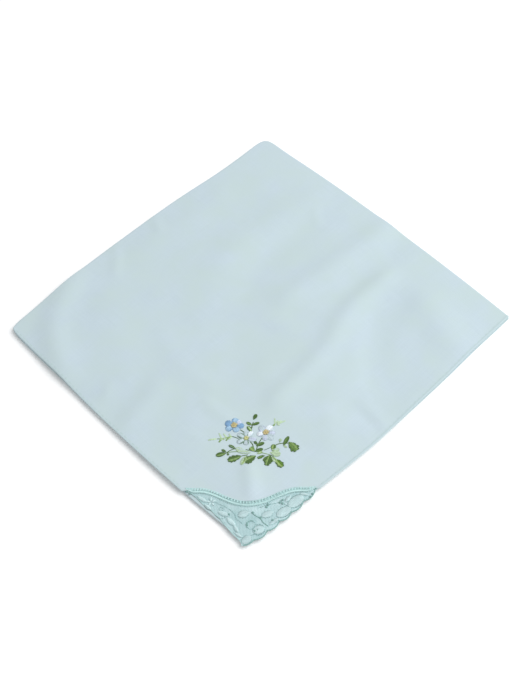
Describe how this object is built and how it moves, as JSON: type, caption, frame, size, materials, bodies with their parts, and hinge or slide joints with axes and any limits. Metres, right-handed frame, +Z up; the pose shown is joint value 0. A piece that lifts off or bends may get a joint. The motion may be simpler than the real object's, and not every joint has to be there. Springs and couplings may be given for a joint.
{
  "type": "folded linen handkerchief",
  "caption": "Square linen handkerchief folded in quarters and lying flat, with a scalloped lace corner on the top layer below a small embroidered spray.",
  "frame": {"origin": "under the middle of the folded square, on the surface that it lies on", "axes": "+Z up; the folded square's sides run along X and Y; the main fold is the -X side, the first fold is the +Y side, and the lace corner is at the +X, -Y corner"},
  "size_m": [0.1512, 0.1492, 0.0063],
  "materials": {
    "linen": "pale blue, plain weave, matt with a faint sheen",
    "lace": "pale aqua net with corded and filled motifs, matt",
    "embroidery_thread": "stranded thread in green, blue, white and yellow, soft sheen"
  },
  "bodies": {
    "root": {"linen_cloth": "linen", "lace_corner": "lace"}
  },
  "joints": []
}
